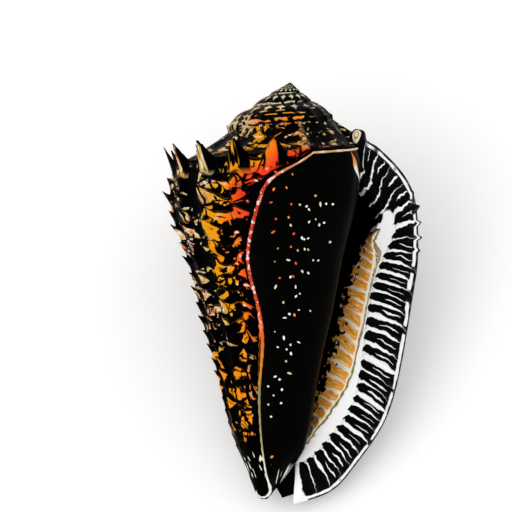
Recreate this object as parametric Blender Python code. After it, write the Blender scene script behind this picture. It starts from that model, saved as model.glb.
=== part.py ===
"""A thick sea shell with a cone-shaped body, lying on its back with its mouth up.

The shell grew in one piece, so it is one solid: coiled whorls with spiny ribs, a smooth callus
(the shield) beside the mouth, a broad ribbed outer lip, and the hollow that the animal lived in.

It is first modelled in its own frame, with the tip of the spire at the origin. There X points
from the coiling axis to the outer lip, Y runs along the axis towards the spire, and Z points out
of the mouth. A place on it is an angle around the axis, a radius from it, and a depth below the
tip. The angle grows as the shell does. It is 0 at the outer lip and -360 degrees a turn earlier.
"""

import bmesh
import bpy
import numpy as np
from mathutils import Euler, Matrix

# ---------------------------------------------------------------- driving dimensions
SHELL_LENGTH = 0.050
TURN = 2 * np.pi

# Coiling
GROWTH_PER_TURN = 1.85
TURNS = 4.6
LIP_SHOULDER_RADIUS = 0.356 * SHELL_LENGTH
SHOULDER_DEPTH_TO_RADIUS = 0.74
LAST_QUARTER_PINCH = 0.20
SEAM_DROP_TO_RADIUS = 0.17
SEAM_DROP_TO_SIDE = 0.035
RAMP_DISH_TO_RADIUS = 0.05
BASE_DEPTH = 0.985 * SHELL_LENGTH
NOTCH_RISE = 0.030 * SHELL_LENGTH
BEND = 0.036 * SHELL_LENGTH
BEND_START = 0.15 * SHELL_LENGTH
FLARE_ANGLE = 1.35

# Sculpture
RIBS_PER_TURN = 17
FIRST_RIB_PHASE = 2 / 3
LINES_PER_RIB = 3
CORD_SPACING = 0.050
CORD_CROWDING = 0.0004
CORDS = 14
RIB_HEIGHT = 0.011 * SHELL_LENGTH
SHOULDER_SPINE = 0.048 * SHELL_LENGTH
FIRST_SPINE = 0.026 * SHELL_LENGTH
LAST_SPINE = 0.014 * SHELL_LENGTH
SHOULDER_SPINE_TILT = np.radians(60)
SPINE_TILT = np.radians(38)

# Mouth
WALL = 0.030 * SHELL_LENGTH
THICK_LIP_ANGLE = 0.9
MOUTH_RECESS = 0.30
CANAL_RECESS = 0.70
CANAL_START = 0.86 * SHELL_LENGTH
BORE_ROWS = 13

# Lip, which starts before its first whole ridge
LIP_START = -3
LIP_RIDGES = 27
LIP_RIDGE_HEIGHT = 0.010 * SHELL_LENGTH
LIP_START_RISE = 0.065 * SHELL_LENGTH

# Shield
SHIELD_THICKNESS = 0.012 * SHELL_LENGTH
SHIELD_ROOT = 0.012 * SHELL_LENGTH
SHIELD_END_ANGLE = -0.85
SHIELD_END_DEPTH = 0.955 * SHELL_LENGTH

# How the shell lies on a table: rolled about its long axis, then tipped up at the spire. The
# spines that it lies on are rubbed down to one level.
REST_ROLL = np.radians(5)
REST_TIP = np.radians(22.25)
REST_WEAR = 0.006 * SHELL_LENGTH


def spline(knots, values):
    """The natural cubic through the values at the knots, as a function of the knot parameter."""
    x = np.asarray(knots, float)
    y = np.asarray(values, float).reshape(len(x), -1)
    step = np.diff(x)
    slope = np.diff(y, axis=0) / step[:, None]
    matrix = np.eye(len(x))
    right = np.zeros_like(y)
    for i in range(1, len(x) - 1):
        matrix[i, i - 1 : i + 2] = step[i - 1], 2 * (step[i - 1] + step[i]), step[i]
        right[i] = 6 * (slope[i] - slope[i - 1])
    bend = np.linalg.solve(matrix, right)

    def at(where):
        where = np.clip(np.asarray(where, float), x[0], x[-1])
        i = np.clip(np.searchsorted(x, where, side="right") - 1, 0, len(x) - 2)
        u = (where - x[i])[..., None]
        h = step[i][..., None]
        cubic = (bend[i + 1] - bend[i]) / (6 * h)
        linear = slope[i] - h * (2 * bend[i] + bend[i + 1]) / 6
        found = y[i] + u * (linear + u * (bend[i] / 2 + u * cubic))
        return found[..., 0] if found.shape[-1] == 1 else found

    return at


def smoothstep(x):
    """0 below 0, 1 above 1, and a smooth rise between."""
    x = np.clip(x, 0, 1)
    return x * x * (3 - 2 * x)


# Radius of the body's side as a share of the shoulder's, from the shoulder (0) to the base (1)
side_share = spline(
    [0, 0.10, 0.19, 0.26, 0.34, 0.46, 0.57, 0.68, 0.78, 0.86, 0.92, 0.97, 1],
    [1, 1.02, 0.955, 0.87, 0.785, 0.69, 0.58, 0.49, 0.43, 0.34, 0.25, 0.18, 0.12],
)
# The same at the flared outer lip
lip_share = spline(
    [0, 0.04, 0.15, 0.25, 0.44, 0.58, 0.72, 0.80, 0.91, 0.98, 1],
    [1, 0.97, 0.98, 1.00, 0.95, 0.88, 0.825, 0.72, 0.526, 0.35, 0.25],
)
# Four lines that run along the lip, by ridge number, as distances from the tip's axis and
# depths in shares of the length: the mouth's edge, both edges of the smooth crest, and the rim
LIP_KNOTS = [-3, 0, 2, 4, 6, 8, 11, 14, 17, 20, 23, 25, 27]
lip_mouth = spline(
    LIP_KNOTS,
    [
        (0.134, 0.176),
        (0.165, 0.267),
        (0.200, 0.321),
        (0.1745, 0.373),
        (0.158, 0.406),
        (0.139, 0.455),
        (0.1156, 0.526),
        (0.0967, 0.613),
        (0.060, 0.715),
        (0.042, 0.778),
        (0.026, 0.844),
        (0.0165, 0.875),
        (0.012, 0.899),
    ],
)
lip_crest_inner = spline(
    LIP_KNOTS,
    [
        (0.142, 0.175),
        (0.182, 0.250),
        (0.217, 0.305),
        (0.2005, 0.365),
        (0.200, 0.403),
        (0.1935, 0.447),
        (0.178, 0.521),
        (0.160, 0.614),
        (0.137, 0.708),
        (0.094, 0.777),
        (0.047, 0.841),
        (0.026, 0.872),
        (0.013, 0.899),
    ],
)
lip_crest_outer = spline(
    LIP_KNOTS,
    [
        (0.146, 0.160),
        (0.191, 0.236),
        (0.231, 0.288),
        (0.243, 0.351),
        (0.224, 0.399),
        (0.205, 0.446),
        (0.185, 0.519),
        (0.172, 0.616),
        (0.158, 0.705),
        (0.131, 0.781),
        (0.084, 0.842),
        (0.050, 0.880),
        (0.015, 0.900),
    ],
)
lip_rim = spline(
    LIP_KNOTS,
    [
        (0.139, 0.100),
        (0.222, 0.168),
        (0.284, 0.245),
        (0.302, 0.340),
        (0.302, 0.420),
        (0.294, 0.481),
        (0.281, 0.561),
        (0.262, 0.670),
        (0.238, 0.765),
        (0.203, 0.837),
        (0.142, 0.920),
        (0.092, 0.968),
        (0.024, 1.000),
    ],
)
# Distance of the mouth's outer wall from the tip's axis, by depth
mouth_edge = spline(
    [0.16, 0.20, 0.267, 0.321, 0.373, 0.406, 0.455, 0.526, 0.613, 0.715, 0.80, 0.90, 1.05],
    [0.12, 0.142, 0.168, 0.198, 0.18, 0.163, 0.144, 0.12, 0.10, 0.064, 0.042, 0.020, 0.016],
)
# Distance of the shield's free edge to the right of the tip's axis, by depth
shield_edge = spline(
    [0.160, 0.184, 0.215, 0.255, 0.325, 0.406, 0.50, 0.60, 0.69, 0.80, 0.89, 0.955],
    [
        *(0.060, 0.024, -0.035, -0.066, -0.087, -0.101),
        *(-0.083, -0.064, -0.068, -0.068, -0.059, -0.047),
    ],
)


def shoulder(angle):
    """Radius and depth of the whorl's shoulder."""
    radius = LIP_SHOULDER_RADIUS * GROWTH_PER_TURN ** (angle / TURN)
    depth = SHOULDER_DEPTH_TO_RADIUS * radius
    pinch = 1 - LAST_QUARTER_PINCH * smoothstep(1 + angle / (TURN / 4))
    return radius * pinch, depth * pinch


def seam(angle):
    """Where the whorl's upper edge joins the whorl before it."""
    radius, depth = shoulder(angle - TURN)
    return radius, depth + seam_drop(radius, depth)


def seam_drop(radius, depth):
    """How far below a shoulder the next whorl begins."""
    return min(SEAM_DROP_TO_RADIUS * radius, SEAM_DROP_TO_SIDE * (BASE_DEPTH - depth))


def base_depth(angle):
    """The base's lowest edge, with the notch of the canal behind the mouth."""
    return BASE_DEPTH - NOTCH_RISE * np.exp(-(((angle + 0.55) / 0.35) ** 2))


def side_radius(angle, share):
    """Radius of the smooth side, at a share of the way from shoulder to base."""
    flare = smoothstep(1 + angle / FLARE_ANGLE)
    return shoulder(angle)[0] * (
        (1 - flare) * side_share(share) + flare * lip_share(share)
    )


def wall_recess(angle, depth):
    """How far the wall draws back beside the mouth and in the canal, as a share of its radius."""
    front = angle + TURN
    mouth = MOUTH_RECESS * smoothstep((0.9 - front) / 0.8)
    low = smoothstep((depth - CANAL_START) / (0.1 * SHELL_LENGTH))
    canal = CANAL_RECESS * low * smoothstep((2.0 - front) / 0.9)
    return 1 - (1 - mouth) * (1 - canal)


def side_radius_at_depth(angle, depth):
    """Radius of the smooth side at a depth, with the wall drawn back beside the mouth."""
    top = shoulder(angle)[1]
    radius = side_radius(angle, (depth - top) / (base_depth(angle) - top))
    return radius * (1 - wall_recess(angle, depth))


def axis_shift(depth):
    """The coiling axis bends away from the lip towards the base."""
    past = np.clip((depth - BEND_START) / (SHELL_LENGTH - BEND_START), 0, None)
    return -BEND * past**1.2


def place(angle, radius, depth):
    """Points from angle, radius and depth."""
    return np.stack(
        np.broadcast_arrays(
            axis_shift(depth) + radius * np.cos(angle),
            -depth,
            radius * np.sin(angle),
        ),
        axis=-1,
    )


def shield_angle(depth):
    """The angle of the shield's free edge on the front of the body whorl."""
    depth = np.asarray(depth)
    radius = side_radius_at_depth(1.3 - TURN, depth)
    across = (shield_edge(depth / SHELL_LENGTH) * SHELL_LENGTH - axis_shift(depth))
    return np.arccos(np.clip(across / np.maximum(radius, 1e-6), -0.97, 0.97))


# ---------------------------------------------------------------- whorls
def cord_share(cord):
    """Where a spiral cord runs on the side, as a share of the way to the base."""
    return CORD_SPACING * cord - CORD_CROWDING * cord**2


def cord_number(share):
    """The cord that runs at this share of the side. It is fractional between cords."""
    root = np.sqrt(CORD_SPACING**2 - 4 * CORD_CROWDING * np.clip(share, 0, 0.8))
    return (CORD_SPACING - root) / (2 * CORD_CROWDING)


def sculpture(angle, share, on_ramp):
    """How far a point moves outwards and up, for ribs and for spines where cords cross them."""
    phase = angle / TURN * RIBS_PER_TURN - FIRST_RIB_PHASE
    off_rib = np.abs(phase - np.round(phase))
    rib = np.exp(-((off_rib / 0.20) ** 2))
    size = np.minimum(GROWTH_PER_TURN ** ((angle + TURN / 2) / TURN), 1.15)
    size = size * smoothstep((angle / TURN + TURNS - 0.9) / 1.2)
    cord = cord_number(share)
    off_cord = np.abs(cord - np.round(cord))
    length = FIRST_SPINE + (LAST_SPINE - FIRST_SPINE) * cord / CORDS
    fade = 1 - smoothstep((cord - CORDS - 0.2) / 0.8)
    spine = rib * np.clip(1 - 2 * off_cord, 0, 1) * length * fade
    at_shoulder = np.clip(1 - off_cord * 2, 0, 1) * (cord < 0.5)
    at_shoulder = np.where(on_ramp < 1, np.clip((on_ramp - 0.8) / 0.2, 0, 1), at_shoulder)
    top_spine = rib * at_shoulder * SHOULDER_SPINE
    spine = np.where((on_ramp < 1) | (cord < 0.5), top_spine, spine)
    tilt = np.where((on_ramp < 1) | (cord < 0.5), SHOULDER_SPINE_TILT, SPINE_TILT)
    body = rib * RIB_HEIGHT * fade * smoothstep(on_ramp / 0.5)
    out = size * (body + spine * np.cos(tilt))
    up = size * spine * np.sin(tilt)
    return out, up


def sculpture_fade(angle, depth):
    """0 under the shield, under the outer lip and inside the mouth, and 1 on the bare whorl."""
    front = angle + TURN
    bare = smoothstep((front - shield_angle(depth)) / 0.25)
    bare = np.where(front < -0.1, 1, bare)
    top = shoulder(angle)[1]
    bare = np.where(depth < top - 0.004 * SHELL_LENGTH, 1, bare)
    return bare * smoothstep(-angle / 0.2) * (0.3 + 0.7 * smoothstep(-angle / 1.3))


def whorl_points(angle, lines):
    """One row of points across the whorl at this angle, from the seam to the base.

    lines holds ("ramp", share), ("seam", 0) or ("side", share) for each point.
    """
    radius, depth = shoulder(angle)
    seam_radius, seam_depth = seam(angle)
    low = base_depth(angle)
    rows = []
    for kind, share in lines:
        if kind == "ramp":
            r = seam_radius + (radius - seam_radius) * share
            h = seam_depth + (depth - seam_depth) * share
            h += RAMP_DISH_TO_RADIUS * radius * np.sin(np.pi * share)
            out, up = sculpture(angle, 0.0, share)
        elif kind == "seam":
            r, h = radius, depth + seam_drop(radius, depth)
            out, up = 0.0, 0.0
        else:
            h = depth + (low - depth) * share
            r = side_radius_at_depth(angle, h)
            out, up = sculpture(angle, share, 1.0)
        bare = sculpture_fade(angle, h)
        rows.append(place(angle, r + out * bare, h - up * bare))
    return rows


def make_whorls():
    """The coiled body, filled solid, as a strip that runs down from the tip to the lip."""
    per_turn = int(RIBS_PER_TURN * LINES_PER_RIB)
    count = int(per_turn * TURNS)
    ramp = [("ramp", s) for s in (0, 0.3, 0.6, 0.82, 1)]
    cords = [cord_share(c) for c in np.arange(0.95, CORDS + 0.6, 0.5)]
    side = cords + [0.72, 0.78, 0.84, 0.89, 0.93, 0.97, 0.995]
    lines = ramp + [("seam", 0)] + [("side", s) for s in side]
    seam_line = len(ramp)

    mesh = bmesh.new()
    grid = []
    for i in range(count + 1):
        angle = (i - count) / per_turn * TURN
        is_body = i >= count - per_turn
        points = whorl_points(angle, lines if is_body else lines[: seam_line + 1])
        row = [mesh.verts.new(p) for p in points[1:]]
        if i >= per_turn:
            first = grid[i - per_turn][seam_line]
        else:
            first = mesh.verts.new(points[0])
        grid.append([first] + row)

    for i in range(count):
        across = min(len(grid[i]), len(grid[i + 1])) - 1
        for k in range(across):
            corners = (grid[i][k], grid[i][k + 1], grid[i + 1][k + 1], grid[i + 1][k])
            mesh.faces.new(corners)

    tip = mesh.verts.new((0, 0, 0))
    rim = [grid[i][0] for i in range(per_turn + 1)] + grid[0][seam_line - 1 :: -1]
    close_with_fan(mesh, tip, rim)

    start = count - per_turn
    pole = mesh.verts.new(place(0.0, 0.0, BASE_DEPTH + 0.002 * SHELL_LENGTH))
    close_with_fan(mesh, pole, [grid[i][-1] for i in range(start, count + 1)], False)
    mouth = grid[count] + [pole] + grid[start][:seam_line:-1]
    mesh.faces.new(mouth)
    return finished(mesh, "shell")


def close_with_fan(mesh, centre, rim, whole=True):
    """Triangles from the centre to each stretch of the rim."""
    ends = rim[1:] + rim[:1] if whole else rim[1:]
    for a, b in zip(rim, ends):
        if a != b:
            mesh.faces.new((centre, a, b))


def finished(mesh, name):
    """The mesh as an object, triangulated, with its faces pointing out."""
    bmesh.ops.triangulate(mesh, faces=mesh.faces)
    bmesh.ops.recalc_face_normals(mesh, faces=mesh.faces)
    data = bpy.data.meshes.new(name)
    mesh.to_mesh(data)
    mesh.free()
    return bpy.data.objects.new(name, data)


def closed_loft(sections, name):
    """A skin over rings of equally many points, capped at both ends.

    The first half of each ring lies over its second half, which runs back the other way.
    """
    mesh = bmesh.new()
    rings = [[mesh.verts.new(p) for p in ring] for ring in sections]
    for a, b in zip(rings, rings[1:]):
        for k in range(len(a)):
            following = (k + 1) % len(a)
            mesh.faces.new((a[k], a[following], b[following], b[k]))
    for ring in (rings[0], rings[-1]):
        for k in range(len(ring) // 2 - 1):
            corners = (ring[k], ring[k + 1], ring[-k - 2], ring[-k - 1])
            mesh.faces.new(corners)
    return finished(mesh, name)


# ---------------------------------------------------------------- mouth
def bore_walls(angle, depth):
    """Inner and outer radius of the hollow at an angle and depths."""
    inner = side_radius_at_depth(angle - TURN, depth) + 0.004 * SHELL_LENGTH
    outer = mouth_edge(depth / SHELL_LENGTH) * SHELL_LENGTH - axis_shift(depth)
    if angle < 0:
        wide = smoothstep(-angle / THICK_LIP_ANGLE)
        outer = outer + wide * (side_radius_at_depth(angle, depth) - WALL - outer)
    return inner, outer


def bore_ring(angle):
    """The hollow's section at an angle: up its outer wall and down its inner one."""
    low = 1.03 * SHELL_LENGTH
    if angle < -0.12:
        low = base_depth(angle) - 0.01 * SHELL_LENGTH
    top = seam(angle)[1] + 0.012 * SHELL_LENGTH
    probe = np.linspace(top, low, 200)
    inner, outer = bore_walls(angle, probe)
    slope = 1.5
    outer = np.minimum(outer, inner[0] + slope * (probe - top))
    open_here = np.flatnonzero(outer - inner > 0.012 * SHELL_LENGTH)
    outer = np.maximum(outer, inner + 0.012 * SHELL_LENGTH)
    depth = np.linspace(probe[open_here[0]], probe[open_here[-1]], BORE_ROWS)
    inner, outer = np.interp(depth, probe, inner), np.interp(depth, probe, outer)
    up = place(angle, outer, depth)[::-1]
    down = place(angle, inner, depth)
    return np.concatenate([up, down])


def make_bore():
    """The hollow that the animal lived in, a tapering passage round the axis."""
    angles = [0.35, 0.12, -0.05, -0.25, -0.45, -0.7, -1.0, -1.35, -1.75, -2.2, -2.7, -3.2]
    angles += [-3.7, -4.2]
    return closed_loft([bore_ring(a) for a in angles], "bore")


# ---------------------------------------------------------------- lip
def lip_section(number, ridge):
    """A closed ring round the lip: its face from the mouth to the rim, then its back."""
    mouth, crest_in = lip_mouth(number), lip_crest_inner(number)
    crest_out, rim = lip_crest_outer(number), lip_rim(number)
    face_share = np.array([0.10, 0.42, 0.75, 0.93, 1.0])
    back_share = np.array([0.97, 0.75, 0.45, 0.2])
    flat = np.concatenate(
        [
            [mouth, mouth + 0.6 * (crest_in - mouth), crest_in, crest_out],
            crest_out + face_share[:, None] * (rim - crest_out),
            crest_out + back_share[:, None] * (rim - crest_out),
            [mouth + 0.15 * (crest_in - mouth)],
        ]
    )
    height = np.array(
        [-0.034, 0.004, 0.018, 0.021]
        + [0.022, 0.023, 0.012, -0.001, -0.012]
        + [-0.030, -0.046, -0.055, -0.057, -0.054]
    )
    raised = np.array([0, 0.35, 0, 0] + [0.5, 1, 1, 0.5, 0] + [0] * 5)
    taper = smoothstep((number - LIP_START + 0.8) / 3) * smoothstep((LIP_RIDGES + 1 - number) / 3)
    lift = LIP_START_RISE * (1 - smoothstep((number - LIP_START) / 8))
    z = height * SHELL_LENGTH * (0.35 + 0.65 * taper) + lift
    z = z + ridge * raised * LIP_RIDGE_HEIGHT * taper
    return np.stack([flat[:, 0] * SHELL_LENGTH, -flat[:, 1] * SHELL_LENGTH, z], axis=-1)


def make_lip():
    """The broad outer lip, with ridges across its face."""
    stations = np.arange(LIP_START, LIP_RIDGES + 0.1, 0.5)
    rings = [lip_section(s, 0.5 - (i % 2)) for i, s in enumerate(stations)]
    return closed_loft(rings, "lip")


# ---------------------------------------------------------------- shield
def make_shield():
    """The smooth callus over the front of the body whorl, which runs on into the mouth."""
    across = np.array([0, 0.03, 0.12, 0.25, 0.40, 0.55, 0.70, 0.85, 1.0])
    swell = np.array([0.3, 1, 1, 1, 1, 1, 1, 0.9, 0.2]) * SHIELD_THICKNESS
    start_top = shoulder(1.3 - TURN)[1]
    sections = []
    for down in np.linspace(0, 1, 19):
        left = float(shield_angle(start_top + down * (SHIELD_END_DEPTH - start_top)))
        angle = left + (SHIELD_END_ANGLE - left) * across
        top = shoulder(angle - TURN)[1] + 0.004 * SHELL_LENGTH
        depth = top + down * (SHIELD_END_DEPTH - top)
        under = side_radius_at_depth(angle - TURN, depth)
        thin = 0.3 if down in (0, 1) else 1
        upper = place(angle, under + swell * thin, depth)
        lower = place(angle, np.maximum(under - SHIELD_ROOT, 0.2 * under), depth)
        sections.append(np.concatenate([upper, lower[::-1]]))
    return closed_loft(sections, "shield")


# ---------------------------------------------------------------- assembly
def boolean(target, tool, operation):
    """Joins or cuts the target with the tool."""
    modifier = target.modifiers.new(operation.lower(), "BOOLEAN")
    modifier.operation = operation
    modifier.solver = "EXACT"
    modifier.object = tool
    graph = bpy.context.evaluated_depsgraph_get()
    joined = bpy.data.meshes.new_from_object(target.evaluated_get(graph))
    target.modifiers.clear()
    target.data = joined


def lay_down(shell, tools):
    """Lays the shell on its back on the table, with the origin under the middle of its box."""
    roll = Euler((0, REST_ROLL, 0)).to_matrix()
    turn = (Euler((REST_TIP, 0, 0)).to_matrix() @ roll).to_4x4()
    for obj in [shell] + tools:
        obj.data.transform(turn)
    places = np.array([v.co for v in shell.data.vertices])
    table = places[:, 2].min() + REST_WEAR
    places[:, 2] = np.maximum(places[:, 2], table)
    shell.data.vertices.foreach_set("co", places.ravel())
    middle = (places.min(0) + places.max(0)) / 2
    for obj in [shell] + tools:
        obj.data.transform(Matrix.Translation((-middle[0], -middle[1], -table)))


def shell_material():
    """Dark and orange shell with a gloss."""
    material = bpy.data.materials.new("shell")
    material.use_nodes = True
    shader = material.node_tree.nodes["Principled BSDF"]
    shader.inputs["Base Color"].default_value = (0.55, 0.24, 0.05, 1)
    shader.inputs["Roughness"].default_value = 0.35
    shader.inputs["Metallic"].default_value = 0.0
    return material


def main():
    for old in list(bpy.data.objects):
        bpy.data.objects.remove(old)
    parts = bpy.data.collections.new("sea_shell")
    cutters = bpy.data.collections.new("sea_shell_cutters")
    bpy.context.scene.collection.children.link(parts)
    bpy.context.scene.collection.children.link(cutters)

    shell = make_whorls()
    parts.objects.link(shell)
    bore, lip, shield = make_bore(), make_lip(), make_shield()
    for tool in (bore, lip, shield):
        cutters.objects.link(tool)
        tool.hide_render = True
        tool.display_type = "WIRE"
    boolean(shell, bore, "DIFFERENCE")
    boolean(shell, lip, "UNION")
    boolean(shell, shield, "UNION")
    lay_down(shell, [bore, lip, shield])

    shell.data.materials.clear()
    shell.data.materials.append(shell_material())
    shell.data.shade_smooth()
    shell.data.set_sharp_from_angle(angle=np.radians(40))


main()
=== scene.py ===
# %% [markdown]
# # A spiny, cone-shaped sea shell, lying mouth up
#
# A snail adds to the edge of its shell while the whole turns about an axis and gets larger. The
# skin is made here as a few overlapping surfaces: the whorls, the smooth shield beside the mouth,
# the lining of the mouth, and the broad outer lip. All of them use the same coiling rule, so
# they meet without being cut to each other.
#
# The first cell loads the solid model that the looks are laid over. No surface made here may
# reach far past it.

import bpy
import numpy as np
from mathutils import Matrix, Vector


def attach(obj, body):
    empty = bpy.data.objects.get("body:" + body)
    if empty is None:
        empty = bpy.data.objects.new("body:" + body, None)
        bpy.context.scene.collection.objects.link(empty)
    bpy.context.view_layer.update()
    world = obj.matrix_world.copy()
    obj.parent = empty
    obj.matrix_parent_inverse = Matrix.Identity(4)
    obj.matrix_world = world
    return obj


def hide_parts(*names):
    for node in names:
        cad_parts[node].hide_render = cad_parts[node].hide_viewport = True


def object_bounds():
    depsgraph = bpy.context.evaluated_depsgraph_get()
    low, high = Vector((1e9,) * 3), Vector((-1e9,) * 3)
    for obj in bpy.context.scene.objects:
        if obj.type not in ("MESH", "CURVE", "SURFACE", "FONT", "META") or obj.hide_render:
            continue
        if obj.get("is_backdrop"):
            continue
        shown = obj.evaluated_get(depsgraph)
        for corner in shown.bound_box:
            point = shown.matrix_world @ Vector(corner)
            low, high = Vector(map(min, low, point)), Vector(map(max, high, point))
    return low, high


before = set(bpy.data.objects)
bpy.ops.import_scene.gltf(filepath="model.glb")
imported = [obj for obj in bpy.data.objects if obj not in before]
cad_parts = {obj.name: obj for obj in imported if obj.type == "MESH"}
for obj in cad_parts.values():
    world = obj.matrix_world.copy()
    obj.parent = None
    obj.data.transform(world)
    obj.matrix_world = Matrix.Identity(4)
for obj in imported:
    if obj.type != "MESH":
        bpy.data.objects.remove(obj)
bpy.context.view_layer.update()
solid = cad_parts["shell"]

# %% [markdown]
# ## The coiling rule
# A snail's shell is a cone wound round an axis, and each turn is larger than the last by the same
# ratio. It could be a spiral curve with a section swept along it, but a formula is easier to
# read, to change and to share between the pieces. A place on the shell is an angle round the
# axis, a distance from the axis and a depth below the tip. The angle is 0 at the outer lip and
# falls by a full turn for each turn back to the tip. Every size is a share of the length L.

# %% Sizes, and ways to blend between numbers
L = 0.050  # length in metres
TURN = 2 * np.pi
TURNS = 4.6  # turns that show, from the tip to the lip
GROWTH = 1.85  # how much larger each turn is than the last
RIBS = 17  # ribs in a turn
CORDS = 14  # rows down the side before the ribs fade
BASE = 0.985 * L  # depth of the lower end
RAMP = 3.5  # rows between the seam and the shoulder


def smoothstep(x):
    """0 below 0, 1 above 1, and 3x^2 - 2x^3 between."""
    x = np.clip(x, 0, 1)
    return x * x * (3 - 2 * x)


def ease(x, start, span):
    """0 up to the start and 1 from a span past it, smooth between."""
    return smoothstep((x - start) / span)


def bell(x, middle, wide):
    """1 at the middle, falling off as e to the minus square of the distance in widths."""
    return np.exp(-(((x - middle) / wide) ** 2))


def runs(places, counts):
    """Even steps from each place to the next, with its own count for each stretch."""
    stretches = zip(places[:-1], places[1:], counts)
    steps = [np.linspace(start, end, count, endpoint=False) for start, end, count in stretches]
    return np.append(np.concatenate(steps), places[-1])


print("length, mm:", L * 1000, "a quarter along a smooth step:", round(smoothstep(0.25), 3))


# %% A smooth curve through chosen places
def spline(knots, values):
    """The natural cubic through values at the knots: second slopes solve a three-band system."""
    x = np.asarray(knots, float)
    y = np.asarray(values, float).reshape(len(x), -1)
    step = np.diff(x)
    slope = np.diff(y, axis=0) / step[:, None]
    inner = np.arange(1, len(x) - 1)
    matrix = np.eye(len(x))
    matrix[inner, inner - 1] = step[:-1]
    matrix[inner, inner] = 2 * (step[:-1] + step[1:])
    matrix[inner, inner + 1] = step[1:]
    right = np.zeros_like(y)
    right[inner] = 6 * (slope[1:] - slope[:-1])
    bend = np.linalg.solve(matrix, right)

    def at(where):
        where = np.clip(np.asarray(where, float), x[0], x[-1])
        i = np.clip(np.searchsorted(x, where, side="right") - 1, 0, len(x) - 2)
        u = (where - x[i])[..., None]
        h = step[i][..., None]
        cubic = (bend[i + 1] - bend[i]) / (6 * h)
        linear = slope[i] - h * (2 * bend[i] + bend[i + 1]) / 6
        found = y[i] + u * (linear + u * (bend[i] / 2 + u * cubic))
        return found[..., 0] if found.shape[-1] == 1 else found

    return at


print("a curve through 0, 1 and 0, a quarter along:", spline([0, 1, 2], [0, 1, 0])(0.5))

# %% [markdown]
# ### Two outlines and the coil
# Seen from the mouth, the side bulges a little below the shoulder and then runs straight to the
# base, while the lip's side stays full and ends in a round. Both outlines are curves through a
# few chosen places, as a maker would draw them with a bent strip of wood. The coil then says
# how large the shoulder is at each angle.

# %% Outlines of the side and of the lip, and the coil's radius and depth
side_share = spline(
    [0, 0.10, 0.19, 0.26, 0.34, 0.46, 0.57, 0.68, 0.78, 0.86, 0.92, 0.97, 1],
    [1, 1.02, 0.955, 0.87, 0.785, 0.69, 0.58, 0.49, 0.43, 0.34, 0.25, 0.18, 0.12],
)
lip_share = spline(
    [0, 0.04, 0.15, 0.25, 0.44, 0.58, 0.72, 0.80, 0.91, 0.98, 1],
    [1, 0.97, 0.98, 1.00, 0.95, 0.88, 0.825, 0.72, 0.526, 0.35, 0.25],
)


def shoulder(angle):
    """Radius and depth of the shoulder: larger by GROWTH each turn, drawn in before the lip."""
    radius = 0.356 * L * GROWTH ** (angle / TURN)
    pinch = 1 - 0.20 * smoothstep(1 + angle / (TURN / 4))
    return radius * pinch, 0.74 * radius * pinch


def seam(angle):
    """Where a whorl starts: a little below the shoulder of the whorl before it."""
    radius, depth = shoulder(angle - TURN)
    return radius, depth + np.minimum(0.17 * radius, 0.035 * (BASE - depth))


print("shoulder radius at the lip, mm:", round(float(shoulder(0.0)[0]) * 1000, 2))

# %% [markdown]
# ### The smooth side
# Before any spine is added, the side is a smooth cone with four changes: it draws in where the
# mouth opens, its last rows close in a round nose, it opens into the lip near angle 0, and it
# leaves room for the canal at the lower end. Each change is one factor, so it can be tried alone.

# %% Radius of the smooth side
def base_depth(angle):
    """Depth of the lower end, with a bell-shaped notch behind the mouth."""
    return BASE - 0.034 * L * bell(angle, -0.70, 0.45)


def mouth_share(angle):
    """How much the whorl draws in where the mouth opens beside it."""
    return 0.30 * smoothstep((0.9 - angle - TURN) / 0.8)


ROW_STEP, ROW_CROWDING, NOSE_ROW = 0.050, 0.0004, 22.6


def row_on_side(row):
    """Share of the way down the side where a row runs. Rows crowd towards the base."""
    return ROW_STEP * row - ROW_CROWDING * row**2


def row_at(share):
    """The row at a share of the way down: the same rule solved for the row by its root."""
    root = np.sqrt(ROW_STEP**2 - 4 * ROW_CROWDING * np.clip(share, 0, 1))
    return (ROW_STEP - root) / (2 * ROW_CROWDING)


def nose(row):
    """How the last rows close: a quarter ellipse, drawn in a little more towards its end."""
    past = np.clip((row - NOSE_ROW) / 2.45, 0, 0.99)
    return np.sqrt(1 - past**2) * (1 - 0.2 * ease(row, NOSE_ROW, 1.5))


def side_radius(angle, depth):
    """Radius of the smooth side: the cone's outline, turning into the lip's near angle 0."""
    radius, top = shoulder(angle)
    share = (depth - top) / (base_depth(angle) - top)
    radius = radius * nose(row_at(share))
    flare = smoothstep(1 + angle / 1.35)
    radius = radius * ((1 - flare) * side_share(share) + flare * lip_share(share))
    low = ease(depth, 0.86 * L, 0.1 * L)
    canal = 0.70 * low * smoothstep((1.7 - angle - TURN) / 0.8)
    return radius * (1 - mouth_share(angle)) * (1 - canal)


print("radius half way down the left side, mm:", round(float(side_radius(-3.1, 0.5 * L)) * 1000, 2))

# %% [markdown]
# ### The axis
# The axis of this shell isn't straight. It leans away from the lip, and the lowest part is a
# lobe of its own beside the canal. Moving the axis with the depth bends every surface alike.

# %% Where a place lies in space
def lean_away(depth):
    """How far the axis leans away from the lip: by the 1.2th power of the depth."""
    return 0.036 * L * np.clip((depth - 0.15 * L) / (0.85 * L), 0, None) ** 1.2


def axis_across(angle, depth):
    """Where the axis stands across. It leans away from the lip, once more near the tip, and
    steps aside at the lower end, which is a lobe beside the canal."""
    lean = smoothstep(depth / (0.03 * L)) * smoothstep((0.12 * L - depth) / (0.05 * L))
    beside = ease(angle + TURN, 0.9, 0.8) * smoothstep(-angle / 2)
    lobe = ease(depth, 0.92 * L, 0.06 * L) * beside
    return -lean_away(depth) - 0.008 * L * lean - 0.025 * L * lobe


def place(angle, radius, depth):
    """Points from angle, radius and depth: round the axis as a circle, and down along it."""
    x = axis_across(angle, depth) + radius * np.cos(angle)
    return np.stack(np.broadcast_arrays(x, -depth, radius * np.sin(angle)), axis=-1)


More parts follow.
